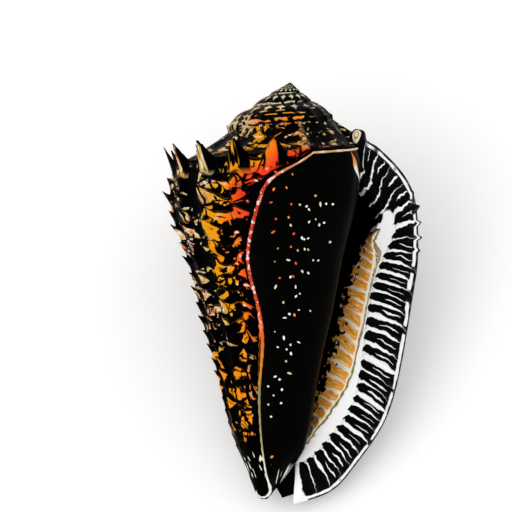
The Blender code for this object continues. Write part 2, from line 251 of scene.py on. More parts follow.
print("lip's shoulder, mm:", np.round(place(0.0, *shoulder(0.0)) * 1000, 2))

# %% [markdown]
# ## Onto the table
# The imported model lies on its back, tipped and rolled a little. Each piece could be turned into
# place by hand, but one matrix of two turns, and the tip as the solid's farthest point along
# the axis, put every surface where it belongs.

# %% From the shell's own frame to the table
def turn_matrix(degrees, first, second):
    """A turn in the plane of two axes: cosines on the diagonal, the sine and its negative off it."""
    matrix, turn = np.eye(3), np.radians(degrees)
    matrix[first, first] = matrix[second, second] = np.cos(turn)
    matrix[second, first], matrix[first, second] = np.sin(turn), -np.sin(turn)
    return matrix


TIPPED, ROLLED = 22.25, 5.0
lay = turn_matrix(TIPPED, 1, 2) @ turn_matrix(ROLLED, 2, 0)
solid_points = np.empty(len(solid.data.vertices) * 3)
solid.data.vertices.foreach_get("co", solid_points)
solid_points = solid_points.reshape(-1, 3)
apex = solid_points[np.argmax(solid_points @ lay[:, 1])]
print("tip of the spire, mm:", np.round(apex * 1000, 2))

# %% [markdown]
# ### From a grid of points to a mesh
# Every piece below is worked out as a grid of points, so one helper turns any of them into an
# object. It could also be done by a Grid object and a Displace modifier, but a displaced grid
# can't fold over itself, as the lip and the scales do. The two numbers of each point's UV map
# are the piece's own pattern, such as rib and row, so that the finishes can follow the growth.

# %% Grids into objects
def corners(grid):
    """The four corners of every square of a grid, as one row for each square."""
    around = (grid[:, :-1, :-1], grid[:, :-1, 1:], grid[:, 1:, 1:], grid[:, 1:, :-1])
    return np.stack(around, axis=3).reshape(-1, 4, *grid.shape[3:])


ENDS = ("first", "last")


def skin(name, points, pattern, shades=None, wrap=None, flip=False, caps=()):
    """A smooth surface over grids of points (grids, rows, columns, 3), as one object.

    Each square of a grid is one face. pattern is two numbers for each point, and shades are
    named numbers for each point, which the materials read. wrap joins the last column to the
    first, where the pattern goes on by the two numbers of wrap. caps names the end rows
    ("first", "last") that are closed by a fan to their middle.
    """
    points = points if points.ndim == 4 else points[None]
    grids, rows, cols = points.shape[:3]
    index = np.arange(grids * rows * cols).reshape(grids, rows, cols)
    pattern = np.stack(pattern, axis=-1).reshape(grids, rows, cols, 2)
    flat, flat_pattern = points.reshape(-1, 3), pattern.reshape(-1, 2)
    if wrap is not None:
        index = np.concatenate([index, index[:, :, :1]], axis=2)
        pattern = np.concatenate([pattern, pattern[:, :, :1] + wrap], axis=2)
    faces, face_pattern = corners(index).tolist(), [corners(pattern).reshape(-1, 2)]
    values = {key: value.reshape(-1, 1) for key, value in (shades or {}).items()}
    for cap in caps:
        edge = index[:, 0, ::-1] if cap == "first" else index[:, -1]
        centre = len(flat) + np.arange(grids)[:, None] + 0 * edge[:, 1:]
        fan = np.stack([edge[:, 1:], edge[:, :-1], centre], axis=-1).reshape(-1, 3)[:, ::-1]
        flat = np.concatenate([flat, flat[edge].mean(1)])
        flat_pattern = np.concatenate([flat_pattern, flat_pattern[edge].mean(1)])
        values = {key: np.concatenate([v, v[edge].mean(1)]) for key, v in values.items()}
        faces += fan.tolist()
        face_pattern.append(flat_pattern[fan].reshape(-1, 2))
    laid = flat @ lay.T + apex
    laid[:, 2] = np.maximum(laid[:, 2], 0)
    mesh = bpy.data.meshes.new(name)
    mesh.from_pydata(laid, [], faces)
    layer = mesh.uv_layers.new(name="pattern")
    layer.data.foreach_set("uv", np.concatenate(face_pattern).ravel())
    if flip:
        mesh.flip_normals()
    mesh.shade_smooth()
    for key, value in values.items():
        mesh.attributes.new(key, "FLOAT", "POINT").data.foreach_set("value", value.ravel())
    made = bpy.data.objects.new(name, mesh)
    bpy.context.scene.collection.objects.link(made)
    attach(made, "root")
    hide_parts("shell")
    print(name, "triangles:", sum(len(face) - 2 for face in faces))
    return made


# %% [markdown]
# ## Whorls with ribs and scales
# On the real shell, the edge of the mantle throws up a rib every so often, and where a spiral
# cord crosses a rib it stands out as a hollow scale that points to the spire. Separate spikes
# could be stuck on, but real ones grow out of the surface, so here the surface itself is moved
# out and up. Rows are numbered from the shoulder down, and the crest of each row hangs in a
# curve between two ribs. Scales stop where the smooth shield begins, so that comes first.

# %% Where the shield ends and bare whorl begins
shield_edge = spline(
    [0.160, 0.184, 0.215, 0.255, 0.325, 0.406, 0.50, 0.60, 0.69, 0.80, 0.89, 0.955],
    [
        *(0.060, 0.024, -0.035, -0.066, -0.087, -0.098),
        *(-0.078, -0.064, -0.068, -0.068, -0.059, -0.047),
    ],
)


def angle_across(across, depth):
    """Angle at which the side lies this far across: the arc cosine of its share of the radius.

    Radius and axis change with the angle too, so it is put right in six rounds.
    """
    front = 1.5 + 0 * np.asarray(depth, float)
    for _ in range(6):
        aside = across - axis_across(front - TURN, depth)
        radius = np.maximum(side_radius(front - TURN, depth), 1e-6)
        front = 0.3 * front + 0.7 * np.arccos(np.clip(aside / radius, -0.97, 0.97))
    return front


def shield_angle(depth):
    """Angle of the shield's free edge at a depth."""
    return angle_across(shield_edge(depth / L) * L, depth)


edge_angle = np.degrees(shield_angle(0.5 * L))
print("shield's edge half way down, degrees round the axis:", round(float(edge_angle), 1))

# %% How long and how steep the scales of each row are
SCALE_ROWS = 20
low_rows = np.arange(1, SCALE_ROWS + 1)
SCALE_LENGTH = L * np.append(0.050, np.where(low_rows < 15, 0.026 - 0.00086 * low_rows, 0.007))
SCALE_TILT = np.radians(np.append(60, 0 * low_rows + 38))
SAG = 0.30
CUSP_WIDE, CUSP_POWER = 0.19, 1.6
HORN_WIDE, HORN_POWER = 0.24, 2.4
print("longest scale, mm:", round(float(SCALE_LENGTH.max()) * 1000, 2))


# %% How far ribs and scales stand out
def rib_number(angle):
    """The ribs counted so far at an angle, with the part of a spacing past the last one."""
    return angle / TURN * RIBS - 2 / 3


def sculpture(angle, row):
    """How far a point stands out and up.

    A rib is a bell curve across the rib. A scale is a cusp across the rib times a profile down
    the row that climbs steeply to its crest and falls slowly below it.
    """
    nearest = np.round(rib_number(angle))
    off = rib_number(angle) - nearest
    size = np.minimum(GROWTH ** ((angle + TURN / 2) / TURN), 1.15)
    size = size * ease(angle / TURN + TURNS, 0.9, 1.2)
    cusp = np.exp(-((np.abs(off) / CUSP_WIDE) ** CUSP_POWER))
    hung = row - SAG * (1 - cusp)
    crest = np.clip(np.round(hung), 0, SCALE_ROWS).astype(int)
    horn = np.exp(-((np.abs(off) / HORN_WIDE) ** HORN_POWER))
    cusp = np.where(crest == 0, horn, cusp)
    below = hung - crest
    upper = np.clip(1 + below / 0.20, 0, 1) ** 1.5
    lower = np.clip(1 - below / 0.5, 0, 1) ** 1.3
    uneven = 0.90 + 0.10 * np.sin(12.99 * nearest + 78.23 * crest)
    uneven = uneven * np.where((crest % 2 == 1) | (crest > 14), 0.70, 1.10)
    early = smoothstep((0.9 - TURN - angle) / 0.8)
    length = SCALE_LENGTH[crest] * (0.17 + 0.83 * cusp) * uneven
    scale = length * np.where(below < 0, upper, lower) * (1 - 0.8 * early)
    tilt = SCALE_TILT[crest]
    on_ramp = np.clip(1 + row / RAMP, 0, 1)
    rib = bell(off, 0, 0.20) * 0.011 * L
    rib = rib * smoothstep(on_ramp / 0.5) * (1 - ease(row, CORDS, 6))
    rib = rib * (1 - 0.4 * early)
    return size * (rib + scale * np.cos(tilt)), size * scale * np.sin(tilt)


stands = np.array(sculpture(-TURN * (1 - 2 / 3) / RIBS, 1.0))
print("second row's scale on the last rib stands out and up, mm:", np.round(stands * 1000, 2))


# %% Ramp and side, with ribs and scales on them
def whorl(angle, row):
    """Points of the whorls: the sloping ramp for rows below 0, then the side down to the base."""
    # the ramp rises a little between the seam and the shoulder
    radius, depth = shoulder(angle)
    seam_radius, seam_depth = seam(angle)
    on_ramp = np.clip(1 + row / RAMP, 0, 1)
    drawn_in = mouth_share(angle) * smoothstep((angle + TURN + 0.12) / 0.12)
    ramp_r = seam_radius + (radius * (1 - drawn_in) - seam_radius) * on_ramp
    early = smoothstep((-TURN - 0.3 - angle) / 1.0)
    seam_depth = seam_depth - (0.10 + 0.03 * early) * seam_radius
    ramp_h = seam_depth + (depth - seam_depth) * on_ramp
    ramp_h = ramp_h + (0.04 - 0.09 * early) * radius * np.sin(np.pi * on_ramp)
    # the side, which is a plain wall on the early turns and pressed in behind the lip
    side_h = depth + (base_depth(angle) - depth) * row_on_side(np.maximum(row, 0))
    side_r = side_radius(angle, side_h)
    wall = smoothstep((-TURN - angle) / 0.12) * smoothstep((2 - row) / 1.5)
    side_r = side_r + (radius - side_r) * wall
    behind_lip = bell(row, 0, 1.1) * ease(angle, -0.7, 0.5)
    r = np.where(row < 0, ramp_r, side_r) * (1 - 0.11 * behind_lip)
    h = np.where(row < 0, ramp_h, side_h)
    h = h - 0.024 * L * ease(row, 22, 2.5) * smoothstep((1.5 - angle - TURN) / 0.5)
    # ribs and scales, where the whorl is bare: not under the shield or behind the lip
    out, up = sculpture(angle, row)
    front = angle + TURN
    bare = ease(front, shield_angle(h), 0.25)
    bare = np.where((front < -0.1) | (h < depth - 0.004 * L), 1, bare)
    bare = bare * smoothstep(-angle / 0.2) * (0.3 + 0.7 * smoothstep(-angle / 1.3))
    bare = bare * np.where(row < 0.5, smoothstep((-angle - 0.8) / 0.8), 1)
    corner = ease(row, -1.2, 0.6) * smoothstep((0.35 - np.abs(front + 0.1)) / 0.15)
    bare = bare * (1 - corner)
    return place(angle, r + out * bare, h - up * bare), h


print("shoulder at the back, mm:", np.round(whorl(np.array([-3.1]), np.zeros(1))[0] * 1000, 2))

# %% [markdown]
# ### The body whorl
# The last turn is most of the shell. It could be made of a patch for each rib, but one grid
# from the seam to the base keeps ribs and rows in one count, with more rows where the scales
# are. Three more numbers go to each point for the finish: how far it is from the shield, how
# deep it is, and how much of the ramp there is drawn black as painted shade.

# %% The body whorl, as one grid from the seam to the base
body_angles = runs([-1.0, 1.4, TURN], [22, 339]) - TURN
body_rows = runs([-RAMP, -0.6, 14.8, 20.8, 24.95], [16, 172, 40, 17])
angle, row = np.meshgrid(body_angles, np.append(body_rows, body_rows[-1]))
points, depth = whorl(angle, row)
# the last ring is drawn in and up, which leaves the canal's end hollow
points[-1] += 0.6 * (points[-1].mean(0) - points[-1]) + np.array([0, 0.035 * L, 0])
front = angle + TURN
on_ramp = smoothstep(-row / 0.8)
from_shield = front - shield_angle(depth)
from_shield = from_shield + on_ramp * (np.maximum(0.55 * (front - 1.50), 0.17) - from_shield)
# painted shade: how much of the ramp on the lip side is drawn black as shade
ramp_shade = on_ramp * smoothstep((1.62 - front) / 0.45)
shades = {"from_shield": from_shield, "depth": depth / L, "ramp_shade": ramp_shade}
body = skin("body_whorl", points, (rib_number(angle), row), shades, caps=("last",))

# %% [markdown]
# ### The spire
# The earlier turns follow the same rule, so the spire is the same function over more turns. Only
# the ramp and a little of the side show, since each turn covers most of the one before.

# %% The spire, which is the earlier turns of the same rule
spire_angles = runs([-8.5 * TURN, -TURNS * TURN, -TURN - 1.0], [200, 999])
row, angle = np.meshgrid(np.linspace(-RAMP, 0.9, 38), spire_angles)
points, depth = whorl(angle, row)
shades = {"side": np.cos(angle), "depth": depth / L}
spire = skin("spire", points, (rib_number(angle), row), shades, flip=True, caps=("first",))

# %% [markdown]
# ## The shield
# The snail spreads this smooth callus over the whorl beside the mouth. It is thin, domed and
# darker than the ribs. It could be cut out of the whorl, but as a sheet of its own, lifted a
# little off the smooth side, it covers the ribs as the real one does.

# %% Shield
# angles of its upper corner and of its edge inside the mouth, and depth of its lower end
SHIELD_START, SHIELD_INSIDE, SHIELD_END = 1.3, -0.85, 0.955 * L


def shield_top(angle):
    """Depth at which the shield starts: just below the shoulder of the turn before."""
    return shoulder(angle - TURN)[1] + 0.004 * L


def shield_point(across, down, lift=0.0):
    """A place on the shield: 0 to 1 across from its free edge into the mouth, 0 to 1 down."""
    start_top = shoulder(SHIELD_START - TURN)[1]
    left = shield_angle(start_top + down * (SHIELD_END - start_top))
    angle = left + (SHIELD_INSIDE - left) * across
    top = shield_top(angle)
    depth = top + down * (SHIELD_END - top)
    ends = smoothstep(down / 0.04) * smoothstep((1 - down) / 0.05)
    swell = smoothstep(across / 0.03 + 0.3) * (1 - 0.8 * ease(across, 0.8, 0.2))
    rise = 0.012 * L * swell * (0.3 + 0.7 * ends)
    points = place(angle - TURN, side_radius(angle - TURN, depth) + rise + lift, depth)
    return points, angle, depth


across, down = np.meshgrid(np.linspace(0, 1, 130), np.linspace(0, 1, 200))
points = shield_point(across, down)[0]
shield = skin("shield", points, (across, down))

# %% [markdown]
# ### The thread along its edge
# The shield's free edge ends in a raised, coloured thread. It is a tube along that edge, and at
# the lower end it curls round the lobe. A curve with a bevel would do too, but here its
# thickness and its beads come from the same run of numbers as its colours.

# %% A tube along a path
# sides of the tube, its clearance in metres, and the share of it along the shield's top
SIDES, CLEAR, TOP_SHARE = 12, 0.00002, 0.16
THREAD, THREAD_SWELL = 0.00026, 0.00017


def tube(path, side, radius):
    """Points of a tube: round each place of a path, a circle in the plane across the path."""
    along = np.gradient(path, axis=0)
    along /= np.linalg.norm(along, axis=1, keepdims=True)
    across = np.cross(along, side)
    across /= np.linalg.norm(across, axis=1, keepdims=True)
    out = np.cross(across, along)
    turn = np.pi + np.linspace(0, TURN, SIDES, endpoint=False)[:, None, None]
    return path + radius[None, :, None] * (np.cos(turn) * out + np.sin(turn) * across)


print("thread's thickness, mm:", round(2000 * THREAD, 2))

# %% Where the thread runs
steps = np.linspace(0, 1, 420)
top_part = np.clip(1 - steps / TOP_SHARE, 0, 1)
side_part = np.clip((steps - TOP_SHARE) / (1 - TOP_SHARE), 0, 1)
path, angle, depth = shield_point(0.62 * top_part**0.9, 0.004 + 0.996 * side_part, CLEAR)

# at its lower end the thread curls round the lobe beside the canal
curl_places = [(-0.0476, 0.967), (-0.0554, 0.9764), (-0.0672, 0.9788), (-0.0767, 0.9717)]
curl_places = [(path[-1, 0] / L, -path[-1, 1] / L), *curl_places, (-0.0800, 0.9640)]
curl = spline(np.arange(6), curl_places)(np.linspace(0, 5, 61)[1:]) * L
turned = angle_across(curl[:, 0], curl[:, 1])
close = place(turned - TURN, side_radius(turned - TURN, curl[:, 1]) + 2 * CLEAR, curl[:, 1])
path = np.concatenate([path, np.stack([curl[:, 0], -curl[:, 1], close[:, 2]], axis=-1)])
depth = np.append(depth, curl[:, 1])
steps = np.linspace(0, 1.14, len(path))
angle = np.append(angle, turned)
print("places along the thread:", len(path))

# %% The thread
radial = np.stack([np.cos(angle), angle * 0, np.sin(angle)], axis=-1)
thick = THREAD + THREAD_SWELL * bell(depth / L, 0.62, 0.06)
thick = thick * (0.50 + 0.50 * ease(steps, TOP_SHARE, 0.07))
thick = thick * (1 - 0.30 * ease(steps, 0.76, 0.08))
thick = thick * (1 - 0.45 * ease(steps, 1.0, 0.10))
points = tube(path, radial, thick * (1 + 0.12 * np.sin(steps * 260)))
points = points.transpose(1, 0, 2)
pattern = np.meshgrid(np.arange(SIDES) / SIDES, steps)
shades = {"depth": np.repeat(depth / L, SIDES)}
thread = skin("shield_thread", points, pattern, shades, wrap=(1, 0), caps=ENDS)

# %% [markdown]
# ### Grains on the shield
# Small callus grains stand on the shield, most of them in a band down its middle and some beside
# the thread. Steps of the golden ratio spread them evenly but without rows, and a seeded random
# number nudges and turns each one. All are one mesh of low domes with few faces.

# %% Where the grains stand
random = np.random.default_rng(4)
GRAINS = 68
GOLDEN = 0.618034
share = (np.arange(GRAINS) + 0.5) / GRAINS
golden = np.arange(GRAINS) * GOLDEN % 1 + 0.5 / GRAINS
# two in nine stand beside the thread, and one more is added low down on it
near = np.arange(GRAINS) % 9 < 2
depth = 0.27 + 0.11 * share + 0.40 * share**1.4 + random.normal(0, 0.010, GRAINS)
spread = np.log(golden / (1.01 - golden)) * (0.015 - 0.012 * (depth - 0.27))
grain_x = 0.056 - 0.185 * (depth - 0.27) + spread
depth = np.where(near, 0.215 + 0.26 * share, depth)
grain_x = np.where(near, -0.062 + 0.075 * golden + 0.05 * (0.4 - depth), grain_x)
grain_x, depth = np.append(grain_x, -0.041) * L, np.append(depth, 0.882) * L
near = np.append(near, True)
GRAINS = len(near)
angle = angle_across(grain_x, depth)
left = shield_angle(depth)
top = shield_top(angle)
grain_across = (left - angle) / (left - SHIELD_INSIDE)
centre, angle, depth = shield_point(grain_across, (depth - top) / (SHIELD_END - top), CLEAR)
print("grains:", GRAINS)

# %% Grains as small domes
GRAIN_SMALL, GRAIN_LARGE = 0.00009, 0.00015
radial = np.stack([np.cos(angle), angle * 0, np.sin(angle)], axis=-1)
turned = random.uniform(0, np.pi, GRAINS)
east = np.stack([-np.sin(angle), angle * 0, np.cos(angle)], axis=-1)
south = np.stack([angle * 0, angle * 0 - 1, angle * 0], axis=-1)
long_way = np.cos(turned)[:, None] * east + np.sin(turned)[:, None] * south
short_way = np.cross(radial, long_way)
half_wide = random.uniform(GRAIN_SMALL, GRAIN_LARGE, GRAINS)
half_long = half_wide * np.where(random.random(GRAINS) < 0.2, 2.4, random.uniform(1, 1.7, GRAINS))
high = np.linspace(0.4, np.pi - 0.4, 5)[None, :, None, None]
around = np.linspace(0, TURN, 8, endpoint=False)[None, None, :, None]
stretch = (half_long[:, None] * long_way)[:, None, None]
narrow = (half_wide[:, None] * short_way)[:, None, None]
raised = (0.6 * half_wide[:, None] * radial)[:, None, None]
points = centre[:, None, None] + np.cos(high) * raised
points = points + np.sin(high) * (np.cos(around) * stretch + np.sin(around) * narrow)
tone = np.where(near, random.uniform(0.0, 0.5, GRAINS), random.uniform(0.5, 1.2, GRAINS))
tone = np.clip(np.append(tone[:-1], 0.45), 0, 1)
tone = tone[:, None, None] + 0 * points[..., 0]
grains = skin("shield_grains", points, (tone, tone), {"tone": tone}, wrap=(0, 0), caps=ENDS)

# %% [markdown]
# ## The outer lip
# A grown snail thickens its outer lip into a broad rolled band. Ribs cross its orange inner
# face, a plain pale crest follows, and ridges cross its outer slope. Its section changes all the
# way along, so it isn't one profile swept along a path. Four lines are drawn along the lip
# instead, and each section is a smooth ring through places between them.

# %% Four lines along the lip
LIP_KNOTS = [-3, 0, 2, 4, 6, 8, 11, 14, 17, 20, 23, 25, 27]
# for each line, how far across and how far down it lies at each ridge number above
LIP_LINES = {
    "mouth": (
        [0.134, 0.165, 0.200, 0.1745, 0.158, 0.139, 0.1156, 0.0967, 0.060, 0.042, 0.026, 0.0165, 0.012],
        [0.176, 0.267, 0.321, 0.373, 0.406, 0.455, 0.526, 0.613, 0.715, 0.778, 0.844, 0.875, 0.899],
    ),
    "crest_inner": (
        [0.142, 0.182, 0.217, 0.2005, 0.200, 0.1935, 0.178, 0.160, 0.137, 0.094, 0.047, 0.026, 0.013],
        [0.175, 0.250, 0.305, 0.365, 0.403, 0.447, 0.521, 0.614, 0.708, 0.777, 0.841, 0.872, 0.899],
    ),
    "crest_outer": (
        [0.146, 0.191, 0.231, 0.243, 0.224, 0.205, 0.185, 0.172, 0.158, 0.131, 0.084, 0.050, 0.015],
        [0.160, 0.236, 0.288, 0.351, 0.399, 0.446, 0.519, 0.616, 0.705, 0.781, 0.842, 0.880, 0.900],
    ),
    "rim": (
        [0.139, 0.222, 0.284, 0.302, 0.302, 0.294, 0.281, 0.262, 0.238, 0.203, 0.142, 0.092, 0.007],
        [0.100, 0.168, 0.245, 0.340, 0.420, 0.481, 0.561, 0.670, 0.765, 0.837, 0.920, 0.968, 0.996],
    ),
}
lip_line = {name: spline(LIP_KNOTS, np.transpose(line)) for name, line in LIP_LINES.items()}
print("rim at ridge 11, shares of the length:", np.round(lip_line["rim"](11.0), 3))

# %% A section of the lip
SLANT = 0.60
RIDGE_HIGH, RIB_HIGH = 0.00042, 0.00022


def lip_skin(number, way):
    """Points of the lip at a ridge number along it and a way round its section.

    The way is 0 at the mouth, 2 and 3 at the crest's edges, 8 at the rim, and 14 back at the
    mouth behind the lip. Each section is a closed cubic through 14 places between the lines.
    """
    mouth, inner = lip_line["mouth"](number), lip_line["crest_inner"](number)
    outer, rim = lip_line["crest_outer"](number), lip_line["rim"](number)
    away = rim - outer
    away = away / np.linalg.norm(away, axis=1, keepdims=True)
    knobs = np.clip(np.cos(TURN * 1.3 * number), 0, 1) ** 2
    knobs = knobs * ease(number, 2.1, 0.7) * smoothstep((6.0 - number) / 1.2)
    rim = rim + 0.009 * knobs[:, None] * away
    rim = rim + np.array([0.0, 0.018]) * smoothstep((-2.3 - number) / 0.7)[:, None]
    rim = rim + np.array([0.004, -0.007]) * bell(number, -1.8, 0.4)[:, None]
    rim = rim + np.array([-0.006, 0.002]) * bell(number, -1.1, 0.35)[:, None]
    share = np.array([0.10, 0.42, 0.75, 0.93, 1.0, 0.97, 0.75, 0.45, 0.2])[:, None, None]
    flat = np.concatenate(
        [
            np.stack([mouth, mouth + 0.6 * (inner - mouth), inner, outer]),
            outer + share * (rim - outer),
            np.stack([mouth + 0.15 * (inner - mouth), mouth]),
        ]
    )
    height = np.array(
        [-0.034, 0.004, 0.018, 0.021, 0.022, 0.023, 0.012, -0.001, -0.012]
        + [-0.030, -0.046, -0.055, -0.057, -0.054, -0.034]
    )
    taper = ease(number, -3.8, 3) * smoothstep((28 - number) / 3)
    lift = 0.065 * (1 - ease(number, -3, 8))
    z = height[:, None] * (0.35 + 0.65 * taper) + lift
    ring = np.stack([flat[..., 0], -flat[..., 1], z], axis=-1) * L
    ring = spline(np.arange(15), ring.reshape(15, -1))(way).reshape(len(way), *ring.shape[1:])

    w = way[:, None]
    bowed = number + 0.35 * np.sin(np.pi * np.clip((w - 3) / 5, 0, 1))
    off = np.abs(bowed - np.round(bowed))
    on_face = ease(w, 3.1, 0.8) * smoothstep((7.9 - w) / 0.8)
    ridge = bell(off, 0, 0.30 - 0.028 * np.clip(w - 3, 0, 5)) - 0.3
    on_inner = smoothstep(w / 0.5) * smoothstep((1.9 - w) / 0.6)
    slanted = number - SLANT * w
    rib = bell(slanted, np.round(slanted), 0.22) - 0.4
    ring[..., 2] += (RIDGE_HIGH * on_face * ridge + RIB_HIGH * on_inner * rib) * taper
    return ring


# %% The lip as one closed skin
PER_RIDGE = 26
lip_numbers = np.linspace(LIP_KNOTS[0], LIP_KNOTS[-1], 30 * PER_RIDGE + 1)
lip_ways = runs([0, 2, 3.2, 8.2, 14], [22, 10, 46, 16])[:-1]
way, number = np.meshgrid(lip_ways, lip_numbers)
points = lip_skin(lip_numbers, lip_ways).transpose(1, 0, 2)
lip = skin("outer_lip", points, (number, way), wrap=(0, 14), caps=ENDS)

# %% [markdown]
# ## The hollow inside
# The body of the snail fills a passage that winds up inside the whorls. Its wall is seen only
# through the mouth, so it is a plain tube, two thirds of a turn long, painted black as the
# mouth's shade. Each of its rings runs up the outer wall and down the inner one, both taken from
# the smooth side.

# %% Mouth lining
mouth_edge = spline(
    [0.16, 0.20, 0.267, 0.321, 0.373, 0.406, 0.455, 0.526, 0.613, 0.715, 0.80, 0.90, 1.05],
    [0.12, 0.142, 0.168, 0.198, 0.18, 0.163, 0.144, 0.12, 0.10, 0.064, 0.042, 0.020, 0.016],
)


WALL = 0.012 * L


def lining_rings(angles, steps):
    """Rings of the passage: up its outer wall and down its inner one, at each angle."""
    angle = angles[:, None]
    low = np.where(angle < -0.12, base_depth(angle) - 0.01 * L, 1.03 * L)
    top = seam(angle)[1] + 0.012 * L
    probe = top + (low - top) * np.linspace(0, 1, 200)
    inner = side_radius(angle - TURN, probe) + 0.004 * L
    outer = mouth_edge(probe / L) * L + lean_away(probe)
    wide = smoothstep(-angle / 0.9)
    outer = outer + wide * (side_radius(angle, probe) - 0.030 * L - outer)
    outer = np.minimum(outer, inner[:, :1] + 1.5 * (probe - top))
    wall = outer - inner > WALL
    first = wall.argmax(1)[:, None]
    last = wall.shape[1] - 1 - wall[:, ::-1].argmax(1)[:, None]
    pick = np.round(first + (last - first) * np.linspace(0, 1, steps)).astype(int)
    rows = np.arange(len(angles))[:, None]
    outer = np.maximum(outer, inner + WALL)
    outer, inner, depth = outer[rows, pick], inner[rows, pick], probe[rows, pick]
    up = place(angle, outer, depth)[:, ::-1]
    down = place(angle, inner, depth)
    return np.concatenate([up, down], axis=1)


lining_angles = np.linspace(-0.16, -4.2, 90)
points = lining_rings(lining_angles, 40)
round_it = points.shape[1]
pattern = np.meshgrid(np.arange(round_it), lining_angles)
lining = skin("mouth_lining", points, pattern, wrap=(round_it, 0), caps=("last",))

# %% [markdown]
# ## Finishes
# Shell colour sits in the shell itself, so each finish is one smooth shader whose base colour
# follows the surface's own rows and ribs. The markings are black ink lines over flat fills, and
# ink is where any of several masks says so. A node tree for that is long to click together, so
# a small class lets the usual signs for sums add its nodes, and one helper stands for each of
# the other kinds.

# %% Helpers for writing a finish
def linear(code):
    """A colour such as "e8930f" as linear red, green, blue and alpha."""
    parts = np.array([int(code[i : i + 2], 16) / 255 for i in (0, 2, 4)])
    parts = np.where(parts <= 0.04045, parts / 12.92, ((parts + 0.055) / 1.055) ** 2.4)
    return (*parts.tolist(), 1.0)


print("half grey in linear light:", round(linear("808080")[0], 3))


class Value:
    """An output in a node tree. Sums are written as usual, and each step adds a Math node."""

    def __init__(self, socket):
        self.socket = socket

    def __add__(self, other):
        return math("ADD", self, other)

    def __sub__(self, other):
        return math("SUBTRACT", self, other)

    def __rsub__(self, other):
        return math("SUBTRACT", other, self)

    def __mul__(self, other):
        return math("MULTIPLY", self, other)

    def __truediv__(self, other):
        return math("DIVIDE", self, other)

    def __pow__(self, other):
        return math("POWER", self, other)

    def __abs__(self):
        return math("ABSOLUTE", self)

    __radd__, __rmul__ = __add__, __mul__


def put(socket, value):
    """Joins a value to a socket, or gives the socket a number or a colour."""
    if isinstance(value, Value):
        socket.id_data.links.new(value.socket, socket)
    else:
        socket.default_value = linear(value) if isinstance(value, str) else value


def node(tree, kind, values=None, out=0, **settings):
    """One output of a new node. values go into its inputs by name or place."""
    made = tree.nodes.new(kind)
    for key, value in settings.items():
        setattr(made, key, value)
    for key, value in (values or {}).items():
        put(made.inputs[key], value)
    return Value(made.outputs[out])


def after(kind, values, out=0, **settings):
    """A new node in the tree that its values come from."""
    tree = next(v.socket.id_data for v in values.values() if isinstance(v, Value))
    return node(tree, kind, values, out, **settings)


# %% Helpers for masks
def math(operation, *numbers, clamp=False):
    """One step of arithmetic, by its name in the Math node."""
    return after("ShaderNodeMath", dict(enumerate(numbers)), operation=operation, use_clamp=clamp)


def fraction(value):
    """What is left of a number above the whole number below it."""
    return math("FRACT", value)


def nearest(value):
    """The nearest whole number."""
    return math("FLOOR", value + 0.5)


def most(first, *masks):
    """The largest of several masks: a place is marked where any of them marks it."""
    for mask in masks:
        first = math("MAXIMUM", first, mask)
    return first


def step(value, low, high):
    """0 below low, 1 above high, smooth between. Falls where low is above high."""
    values = {"Value": value, "From Min": low, "From Max": high}
    return after("ShaderNodeMapRange", values, "Result", interpolation_type="SMOOTHSTEP")


def within(value, middle, wide, core):
    """1 within core of the middle, 0 farther off than wide, smooth between."""
    return step(abs(value - middle), wide, core)


def oval(x, half_x, y, half_y, power):
    """1 on a curve round 0: (x / half_x) and (y / half_y), each to the power, added up."""
    return (x * (1 / half_x)) ** power + (y * (1 / half_y)) ** power


def vector(*sides):
    """Up to three numbers as a vector."""
    return after("ShaderNodeCombineXYZ", dict(enumerate(sides)))


def noise(x, y, shift, scale, detail=1.0, rough=0.5):
    """Smooth random values over two numbers. Another shift gives other values."""
    values = {"Vector": vector(x, y, shift), "Scale": scale, "Detail": detail}
    return after("ShaderNodeTexNoise", {**values, "Roughness": rough}, "Fac")


def borders(x, y, shift):
    """Distance to the nearest border between cells scattered over two numbers."""
    values = {"Vector": vector(x, y, shift), "Scale": 1.0}
    return after("ShaderNodeTexVoronoi", values, "Distance", feature="DISTANCE_TO_EDGE")


# %% Helpers for colours and groups
def layers(colour, *laid):
    """Colours laid over one another, the lowest first, each as much as its mask says."""
    for mask, over in laid:
        colour = after("ShaderNodeMix", {0: mask, 6: colour, 7: over}, 2, data_type="RGBA")
    return colour


def ramp(value, stops):
    """A colour for each value: stops gives the place of each colour."""
    found = after("ShaderNodeValToRGB", {0: value})
    points = found.socket.node.color_ramp.elements
    while len(points) < len(stops):
        points.new(0.5)
    for point, (place_, code) in zip(points, stops.items()):
        point.position = place_
        point.color = linear(code)
    return found


def new_group(name, inputs, outputs):
    """A node group with number sockets: the tree, the values that come in, and what goes out."""
    tree = bpy.data.node_groups.new(name, "ShaderNodeTree")
    for way, names in (("INPUT", inputs), ("OUTPUT", outputs)):
        for socket in names:
            tree.interface.new_socket(socket, in_out=way, socket_type="NodeSocketFloat")
    came = tree.nodes.new("NodeGroupInput").outputs
    return tree, [Value(came[name]) for name in inputs], tree.nodes.new("NodeGroupOutput").inputs


def placed(group, **inputs):
    """What comes out of a node group that is placed with its own values."""
    first = after("ShaderNodeGroup", inputs, node_tree=group)
    return [Value(socket) for socket in first.socket.node.outputs]


# %% [markdown]
# ### Two effects that several finishes share
# A snail's mantle never lays colour in straight lines. The first group lets rows and ribs wander
# by some noise, and the second gives fine growth lines and the unevenness of the gloss. Each is
# a node group, built once and placed with its own values. They could be copied into every
# material, but then a change would have to be made in each copy.

# %% Shared effect: rows and ribs that wander
came, went = ["Along", "Row", "Sway"], ["Along", "Row"]
wander, (along, row, sway), out = new_group("wandering_rows", came, went)
coarse = noise(along, row, 0.0, 1.1) - 0.5
fine = noise(along, row, 0.0, 3.6) - 0.5
other = noise(row, along, 7.0, 1.7) - 0.5
put(out["Along"], other * sway + along)
put(out["Row"], (fine * 0.28 + coarse) * sway + row)
print(wander.name, "nodes:", len(wander.nodes))

